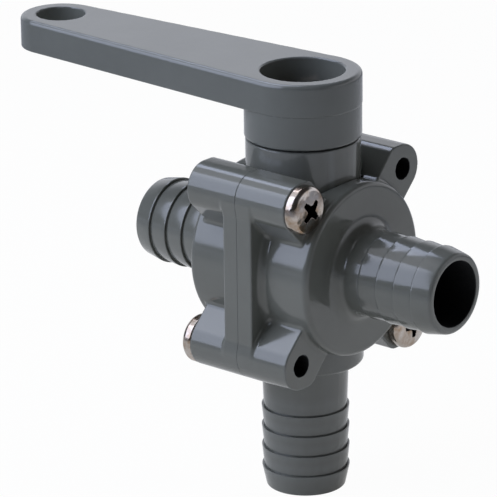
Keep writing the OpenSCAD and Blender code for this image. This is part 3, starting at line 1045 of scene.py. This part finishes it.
@dataclass(frozen=True)
class LeverMoulding:
    """Lever with its socket and eye. Coordinates: from the stem's axis, z from the boss's foot."""

    reach: float = 73.2
    boss_radius: float = 13.3
    tip_radius: float = 9.4
    height: float = 15.0
    arm_thickness: float = 7.4
    arm_round: float = 1.0
    arm_lower_round: float = 0.2
    parting_step: float = 0.1
    foot_round: float = 0.4
    socket_radius: float = 9.5
    socket_floor: float = 4.9
    socket_round: float = 0.35
    eye_radius: float = 5.7
    eye_round: float = 0.2
    square: float = 11.1
    square_corner_radius: float = 7.31
    under_fillet: float = 0.8
    under_fillet_start: float = 3.0
    under_fillet_run: float = 7.0
    stop_radius: float = 10.475
    stop_width: float = 1.8
    stop_depth: float = 1.5
    stop_half_angle: float = 8.0
    cell: float = 0.35

    def _stop(self, x: Array, y: Array, z: Array) -> Array:
        """Measure distances to the lug under the boss, which travels in the neck's groove.

        Args:
            x: Places along the arm, negative towards its eye.
            y: Places across the arm.
            z: Heights from the boss's foot.

        Returns:
            Distances, negative inside the lug.
        """
        radius = np.hypot(x, y)
        ring = np.abs(radius - self.stop_radius) - self.stop_width / 2
        ends = radius * (np.abs(np.arctan2(y, -x)) - math.radians(self.stop_half_angle))
        levels = np.abs(z) - self.stop_depth
        return np.maximum(np.maximum(ring, ends), levels)

    def _outline(self, x: Array, y: Array) -> Array:
        """Measure distances to the arm's outline: two circles and the lines that touch both.

        Args:
            x: Places along the arm, negative towards its eye.
            y: Places across the arm.

        Returns:
            Distances, negative inside the outline.
        """
        slope = (self.boss_radius - self.tip_radius) / self.reach
        across = math.sqrt(1 - slope**2)
        side = np.abs(y)
        place = -slope * side - across * x
        boss = np.hypot(x, y) - self.boss_radius
        tip = np.hypot(x + self.reach, y) - self.tip_radius
        flank = across * side - slope * x - self.boss_radius
        return np.where(place < 0, boss, np.where(place > across * self.reach, tip, flank))

    def distance(self, x: Array, y: Array, z: Array) -> Array:
        """Measure signed distances to the lever.

        Args:
            x: Places along the arm, negative towards its eye.
            y: Places across the arm.
            z: Heights from the boss's foot.

        Returns:
            Distances, negative inside the lever.
        """
        radius = np.hypot(x, y)
        under = self.height - self.arm_thickness
        outline = self._outline(x, y)
        arm = meet(outline, z - self.height, self.arm_round)
        arm = meet(arm, under - z, self.arm_lower_round)
        boss = meet(radius - self.boss_radius + self.parting_step, -z, self.foot_round)
        boss = np.maximum(boss, z - self.height + 2 * self.arm_round)
        growth = np.clip((-x - self.under_fillet_start) / self.under_fillet_run, 0, 1)
        corner = join(under - z, boss, self.under_fillet * growth)
        corner = np.maximum(corner, outline + self.arm_lower_round)
        corner = np.maximum(corner, z - under - self.under_fillet)
        solid = np.minimum(np.minimum(arm, boss), np.minimum(corner, self._stop(x, y, z)))
        socket = np.maximum(radius - self.socket_radius, self.socket_floor - z)
        solid = cut(solid, socket, self.socket_round)
        solid = cut(solid, np.hypot(x + self.reach, y) - self.eye_radius, self.eye_round)
        flats = np.maximum(np.abs(x), np.abs(y)) - self.square / 2
        return np.maximum(solid, -np.maximum(flats, radius - self.square_corner_radius))

    def _lines(self) -> tuple[Array, Array, Array]:
        """Lay out the mesher's grid, with finer layers at the step of the parting line.

        Returns:
            The grid's places along x, y and z.
        """
        margin = MARGIN * self.cell
        far = self.reach + self.tip_radius + margin
        side = self.boss_radius + margin
        parting = self.height - self.arm_thickness
        near_step = parting + np.arange(-4, 8) * self.parting_step / 2
        lowest, highest = -self.stop_depth - margin, self.height + margin + self.cell
        below = np.arange(lowest, near_step[0] - self.parting_step, self.cell)
        above = np.arange(near_step[-1] + 1.5 * self.parting_step, highest, self.cell)
        return (
            np.arange(-far, side + self.cell, self.cell),
            np.arange(-side, side + self.cell, self.cell),
            np.concatenate([below, near_step, above]),
        )

    def build(self, foot_height: float, material: Material) -> Object:
        """Make the lever.

        Args:
            foot_height: Height of the underside of the lever's boss.
            material: The lever's finish.

        Returns:
            The lever.
        """
        mesh = Mesher(self._lines(), self.cell).mesh("lever_moulding", self.distance)
        place = Matrix.Translation((0, 0, foot_height * MM))
        piece = add_piece("lever_moulding", [mesh], [material], place)
        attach(piece, Body.HANDLE.value)
        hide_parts("lever")
        return piece


@dataclass(frozen=True)
class PanHeadScrew:
    """Pan-head screw with a cross recess. Coordinates: z outward from the head's seat."""

    head_diameter: float = 11.1
    head_height: float = 3.4
    shank_diameter: float = 4.9
    length: float = 23.0
    pitch: float = 1.6
    thread_depth: float = 0.35
    recess_width: float = 5.8
    dome_share: float = 1.6  # radius, of the head's diameter
    rim_share: float = 0.28  # radius, of the head's height
    seat_round: float = 0.4
    wing_share: float = 0.15  # half width, of the recess's width
    wing_taper: float = 0.11  # loss of half width outward
    wing_draft: float = 0.06  # loss of half width with depth
    wing_slope: float = 0.42  # loss of reach with depth
    wing_round: float = 0.25
    cross_fillet_share: float = 0.09  # of the recess's width
    recess_depth_share: float = 0.82  # of the head's height
    recess_round: float = 0.12
    point_length: float = 3.0
    point_share: float = 0.25  # radius at the point, of the shank's radius
    thread_steepness: float = 0.75
    shank_overlap: float = 0.5
    cell: float = 0.14

    def _head(self, radius: Array, z: Array) -> Array:
        """Measure distances to the head without its recess.

        Args:
            radius: Distances from the screw's axis.
            z: Heights from the head's seat.

        Returns:
            Distances, negative inside the head.
        """
        dome_radius = self.dome_share * self.head_diameter
        dome = np.hypot(radius, z - self.head_height + dome_radius) - dome_radius
        head = meet(radius - self.head_diameter / 2, dome, self.rim_share * self.head_height)
        return meet(head, -z, self.seat_round)

    def _recess(self, x: Array, y: Array, z: Array) -> Array:
        """Measure distances to the cross recess, whose wings narrow outward and with depth.

        Args:
            x: Places along one pair of wings.
            y: Places along the other pair.
            z: Heights from the head's seat.

        Returns:
            Distances, negative inside the recess.
        """
        depth = self.head_height - z
        half_width = self.wing_share * self.recess_width - self.wing_draft * depth
        reach = self.recess_width / 2 - self.wing_slope * depth
        places = np.abs(x), np.abs(y)
        wings = []
        for along, across in (places, places[::-1]):
            flank = across - half_width + self.wing_taper * along
            wings.append(meet(flank, along - reach, self.wing_round))
        cross = join(*wings, self.cross_fillet_share * self.recess_width)
        return np.maximum(cross, depth - self.recess_depth_share * self.head_height)

    def distance(self, x: Array, y: Array, z: Array) -> Array:
        """Measure signed distances to the screw.

        Args:
            x: Places across the screw's axis.
            y: Places across the screw's axis and x.
            z: Heights from the head's seat.

        Returns:
            Distances, negative inside the screw.
        """
        radius = np.hypot(x, y)
        head = cut(self._head(radius, z), self._recess(x, y, z), self.recess_round)
        turns = z / self.pitch - np.arctan2(y, x) / (2 * math.pi)
        ridge = np.abs(turns - np.round(turns)) * 2
        taper = np.clip((z + self.length) / self.point_length, self.point_share, 1)
        crest = self.shank_diameter / 2 * taper
        thread = radius - crest + self.thread_depth * ridge * taper
        shank = np.maximum(self.thread_steepness * thread, -self.length - z)
        return np.minimum(head, np.maximum(shank, z - self.shank_overlap))

    def mesh(self, name: str) -> Mesh:
        """Mesh the screw.

        Args:
            name: Name of the mesh.

        Returns:
            The mesh, with the faces of its recess marked for painted shade.
        """
        margin = MARGIN * self.cell
        reach = self.head_diameter / 2 + margin
        low = (-reach, -reach, -self.length - margin)
        high = (reach, reach, self.head_height + margin)
        mesh = Mesher.even(low, high, self.cell).mesh(name, self.distance)
        # The recess's faces get the dark finish, a painted shade.
        mark_hollow(mesh, lambda x, y, z: np.where(z > 0, self._recess(x, y, z), 1.0))
        return mesh


@dataclass(frozen=True)
class CaseScrews:
    """The four case screws, each through one cap's boss into the other's."""

    screw: PanHeadScrew = PanHeadScrew()
    cap: CapMoulding = CapMoulding()

    def build(self, materials: list[Material]) -> list[Object]:
        """Make the screws.

        Args:
            materials: The screws' finish and the painted shade of their recesses.

        Returns:
            The four screws.
        """
        mesh = self.screw.mesh("case_screw")
        outward = Matrix.Rotation(math.pi / 2, 4, "Y")
        # For each screw: its cap's turn, the level of its boss, and its own turn in degrees.
        spots = {
            "front_upper_screw": (0.0, 1, 45),
            "front_lower_screw": (0.0, -1, 3),
            "rear_upper_screw": (math.pi, 1, 30),
            "rear_lower_screw": (math.pi, -1, 60),
        }
        pieces = []
        for name, (cap_turn, level, turn) in spots.items():
            side_y, level_z = -level * self.cap.boss_y, level * self.cap.boss_z
            seat = Vector((self.cap.boss_face, side_y, RUN_HEIGHT + level_z)) * MM
            place = Matrix.Rotation(cap_turn, 4, "Z") @ Matrix.Translation(seat) @ outward
            place = place @ Matrix.Rotation(math.radians(turn), 4, "Z")
            piece = add_piece(name + "_formed", [mesh], materials, place)
            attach(piece, Body.HOUSING.value)
            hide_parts(name)
            pieces.append(piece)
        return pieces


@dataclass(frozen=True)
class LeverFixing:
    """The screw that holds the lever on the stem. Its head stands on the frame's washer."""

    screw: PanHeadScrew = PanHeadScrew(
        head_diameter=9.2,
        head_height=3.1,
        shank_diameter=4.3,
        length=11.0,
        pitch=1.4,
        thread_depth=0.3,
        recess_width=4.8,
        cell=0.13,
    )
    washer_thickness: float = 1.0

    def build(self, socket_bottom: float, materials: list[Material]) -> Object:
        """Make the lever screw.

        Args:
            socket_bottom: Height of the floor of the lever's socket.
            materials: The screw's finish and the painted shade of its recess.

        Returns:
            The screw.
        """
        place = Matrix.Translation((0, 0, (socket_bottom + self.washer_thickness) * MM))
        piece = add_piece("lever_screw_formed", [self.screw.mesh("lever_screw")], materials, place)
        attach(piece, Body.HANDLE.value)
        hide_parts("lever_screw")
        return piece


# Studio


@dataclass(frozen=True)
class Camera:
    """Camera of the photograph, in millimetres from the valve's origin and degrees."""

    azimuth: float = 40.739
    elevation: float = 19.209
    roll: float = -0.774
    distance: float = 922.09
    focal_mm: float = 296.546
    sensor_mm: float = 36.0
    aim_height: float = 55.28
    aim_right: float = -12.527
    aim_up: float = 1.402
    nearest: float = 50.0
    farthest: float = 20000.0

    def build(self) -> Object:
        """Make the camera and set it as the scene's.

        Returns:
            The camera.
        """
        a, e, r = (math.radians(v) for v in (self.azimuth, self.elevation, self.roll))
        back = Vector((math.sin(a) * math.cos(e), -math.cos(a) * math.cos(e), math.sin(e)))
        right = Vector((math.cos(a), math.sin(a), 0))
        up = back.cross(right)
        target = Vector((0, 0, self.aim_height)) + right * self.aim_right + up * self.aim_up
        rolled_right = right * math.cos(r) + up * math.sin(r)
        rolled_up = up * math.cos(r) - right * math.sin(r)
        data = bpy.data.cameras.new("photo_camera")
        data.lens = self.focal_mm
        data.sensor_width = self.sensor_mm
        data.clip_start = self.nearest * MM
        data.clip_end = self.farthest * MM
        camera = add_object("photo_camera", data)
        facing = Matrix((rolled_right, rolled_up, back)).transposed().to_4x4()
        camera.matrix_world = Matrix.Translation((target + back * self.distance) * MM) @ facing
        bpy.context.scene.camera = camera
        return camera


@dataclass(frozen=True)
class SoftLight:
    """A soft box. Its direction is from the valve's middle, its place and size are in millimetres.

    Its turn is in degrees in its own plane, clockwise as the valve sees it.
    """

    name: str
    towards: Point3
    width: float
    height: float
    strength: float
    turn: float = 0.0
    distance: float = 1500.0
    colour: str = "DAE4FF"

    def build(self, middle: Vector) -> Object:
        """Make the lamp.

        Args:
            middle: The valve's middle in metres, at which the lamp points.

        Returns:
            The lamp.
        """
        data = bpy.data.lights.new(self.name, "AREA")
        data.shape = "RECTANGLE"
        data.size = self.width * MM
        data.size_y = self.height * MM
        data.color = linear(self.colour)[:3]
        data.energy = self.strength * math.pi * data.size * data.size_y
        lamp = add_object(self.name, data)
        direction = Vector(self.towards).normalized()
        lamp.location = middle + direction * (self.distance * MM)
        upright = direction.to_track_quat("Z", "Y")
        turned = Quaternion((0.0, 0.0, 1.0), math.radians(self.turn))
        lamp.rotation_euler = (upright @ turned).to_euler()
        lamp.visible_camera = False
        return lamp


@dataclass(frozen=True)
class Studio:
    """White sweep lit by two soft boxes at the left, in a room that is dark elsewhere.

    The camera sees the sweep as white. The valve sees it as it is lit: fairly bright behind, and
    dark at the right and in front. The fades and the glow's edge are parts of a unit direction.
    """

    floor_size: float = 12000.0
    paper: WhitePaper = WhitePaper()
    room: float = 0.06
    room_colour: str = "F4F6FF"
    sweep: float = 0.62
    sweep_fade: Point2 = (-0.1, 0.35)
    sweep_top: Point2 = (0.6, 0.35)
    glow: float = 1.2
    glow_towards: Point3 = (-0.46, -0.20, 0.87)
    glow_edge: Point2 = (0.88, 0.97)
    lamps: tuple[SoftLight, ...] = (
        SoftLight(
            "left_soft_box", (-0.486, -0.691, 0.535), 1400.0, 1400.0, strength=3.45, turn=28.0
        ),
        SoftLight("rear_soft_box", (-0.513, 0.256, 0.819), 620.0, 800.0, strength=4.3),
    )

    def _light(self, tree: NodeTree, path: Node) -> NodeSocket:
        """Add what the valve sees of the room.

        Steel and plastic mirror the white backdrop behind the valve, and the dark room elsewhere.

        Args:
            tree: The world's node tree.
            path: Its Light Path node.

        Returns:
            The brightness in each direction.
        """
        way = add_node(tree, "ShaderNodeTexCoord").outputs["Generated"]
        parts = add_node(tree, "ShaderNodeSeparateXYZ", {0: way})
        inputs = {"Value": mirrored_rays(tree, path), "To Min": self.sweep}
        level = add_node(tree, "ShaderNodeMapRange", inputs)
        inputs = {
            "Value": parts.outputs["Y"],
            "From Min": self.sweep_fade[0],
            "From Max": self.sweep_fade[1],
            "To Max": level.outputs["Result"],
        }
        behind = add_node(tree, "ShaderNodeMapRange", inputs)
        inputs = {
            "Value": parts.outputs["Z"],
            "From Min": self.sweep_top[0],
            "From Max": self.sweep_top[1],
            "To Max": 1.0,
        }
        low = add_node(tree, "ShaderNodeMapRange", inputs)
        inputs = {0: behind.outputs["Result"], 1: low.outputs["Result"], 2: self.room}
        sweep = add_node(tree, "ShaderNodeMath", inputs, operation="MULTIPLY_ADD")
        inputs = {0: way, 1: Vector(self.glow_towards).normalized()}
        facing = add_node(tree, "ShaderNodeVectorMath", inputs, operation="DOT_PRODUCT")
        inputs = {
            "Value": facing.outputs["Value"],
            "From Min": self.glow_edge[0],
            "From Max": self.glow_edge[1],
            "To Max": self.glow,
        }
        glow = add_node(tree, "ShaderNodeMapRange", inputs)
        inputs = {0: sweep.outputs[0], 1: glow.outputs["Result"]}
        return add_node(tree, "ShaderNodeMath", inputs, operation="ADD").outputs[0]

    def _world(self) -> None:
        """Make the world: white to the camera, and otherwise as bright as the room is there."""
        world = bpy.data.worlds.new("studio")
        bpy.context.scene.world = world
        world.use_nodes = True
        tree = world.node_tree
        tree.nodes.clear()
        path = add_node(tree, "ShaderNodeLightPath")
        inputs = {"Color": linear(self.room_colour), "Strength": self._light(tree, path)}
        lit = add_node(tree, "ShaderNodeBackground", inputs)
        white = add_node(tree, "ShaderNodeBackground", {"Color": WHITE, "Strength": 1.0})
        inputs = {0: path.outputs["Is Camera Ray"], 1: lit.outputs[0], 2: white.outputs[0]}
        mixed = add_node(tree, "ShaderNodeMixShader", inputs)
        add_node(tree, "ShaderNodeOutputWorld", {"Surface": mixed.outputs[0]})

    def _floor(self) -> Object:
        """Make the floor.

        Returns:
            The floor, marked as no part of the valve.
        """
        half = self.floor_size / 2 * MM
        mesh = bpy.data.meshes.new("floor")
        corners = [(-half, -half, 0), (half, -half, 0), (half, half, 0), (-half, half, 0)]
        mesh.from_pydata(corners, [], [(0, 1, 2, 3)])
        mesh.materials.append(self.paper.build())
        floor = add_object("floor", mesh)
        floor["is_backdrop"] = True
        return floor

    def build(self, middle: Vector) -> None:
        """Make the floor, the world and the lamps.

        Args:
            middle: The valve's middle in metres.
        """
        self._world()
        self._floor()
        for lamp in self.lamps:
            lamp.build(middle)
        bpy.context.scene.view_settings.view_transform = "Standard"


@dataclass(frozen=True)
class Palette:
    """The finishes of all pieces."""

    # Grey rigid PVC moulded in polished tools: satin gloss, pale flow streaks. The lever's is a
    # shade duller.
    case: MouldedPvc = MouldedPvc("moulded_grey_pvc", "6A6B63", "6F7068")
    body: MouldedPvc = MouldedPvc("moulded_grey_pvc_body", "686962", "6D6E67")
    lever: MouldedPvc = MouldedPvc("moulded_grey_pvc_lever", "686A64", "6D6F69", roughness=0.14)
    # The bores and screw holes as cored in the mould, painted nearly black: painted shade, deep
    # inside them.
    bore: PlainFinish = PlainFinish("pvc_bore_painted_shade", "0E0F10", roughness=0.6, ior=1.54)
    # Stainless steel headed cold and tumbled: bright, uneven, with a thin brown film.
    steel: ColdHeadedSteel = ColdHeadedSteel()
    # The cross recess, painted dull black: painted shade, deep in the recess.
    recess: PlainFinish = PlainFinish("steel_recess_painted_shade", "14110F", roughness=0.6, metallic=1.0)
    # PTFE turned on a lathe: waxy white with hardly any gloss.
    seat: PlainFinish = PlainFinish("machined_ptfe", "EDEDE8", roughness=0.5, ior=1.35)
    # Nitrile rubber moulded in a blasted tool: soft, even black.
    rubber: PlainFinish = PlainFinish("moulded_nitrile_rubber", "1B1B1C", roughness=0.55, ior=1.52)
    # Acetal turned on a lathe: dark grey with a dull sheen.
    stem: PlainFinish = PlainFinish("turned_grey_acetal", "4A4D50", roughness=0.38, ior=1.48)
    # The same acetal, polished after turning: smooth, with a clear sheen.
    ball: PlainFinish = PlainFinish(
        "polished_grey_acetal",
        "54585C",
        roughness=0.16,
        ior=1.48,
        relief=Relief(Grain(0.5, octaves=3.0), strength=0.3, depth_mm=0.002),
    )


def dress_inner_pieces(nodes: dict[str, Object], palette: Palette) -> None:
    """Give the frame's own solids that stay in view their finish.

    Args:
        nodes: The frame's nodes by name.
        palette: The finishes.
    """
    rings = ["front_seat_ring", "rear_seat_ring", "front_cap_seal", "rear_cap_seal"]
    groups = (
        (palette.body, ["centre_body"]),
        (palette.steel, ["lever_washer"]),
        (palette.seat, ["front_seat", "rear_seat", "thrust_washer"]),
        (palette.rubber, rings + ["lower_stem_seal", "upper_stem_seal"]),
        (palette.stem, ["stem"]),
        (palette.ball, ["ball"]),
    )
    for finish, names in groups:
        for name in names:
            nodes[name].data.materials.clear()
            nodes[name].data.materials.append(finish.build())
            LOG.info("%s gets %s", name, finish.name)


def main() -> None:
    """Build the valve's looks round the frame."""
    logging.basicConfig(level=logging.INFO, format="%(name)s: %(message)s")
    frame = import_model()
    frame_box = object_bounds()
    palette = Palette()
    socket_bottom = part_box("lever_washer")[0].z / MM
    Camera().build()
    Studio().build((frame_box[0] + frame_box[1]) / 2)
    dress_inner_pieces(frame["nodes"], palette)
    # The bore finish is painted shade, dark inside the bores and screw holes.
    pieces = CapMoulding().build([palette.case.build(), palette.bore.build()])
    lever = LeverMoulding()
    pieces.append(lever.build(socket_bottom - lever.socket_floor, palette.lever.build()))
    # The recess finish is painted shade, dark in the screws' cross recesses.
    steel = [palette.steel.build(), palette.recess.build()]
    pieces += CaseScrews().build(steel)
    pieces.append(LeverFixing().build(socket_bottom, steel))
    for piece in pieces:
        LOG.info("%s: %d faces", piece.name, len(piece.data.polygons))


if __name__ == "__main__":
    main()
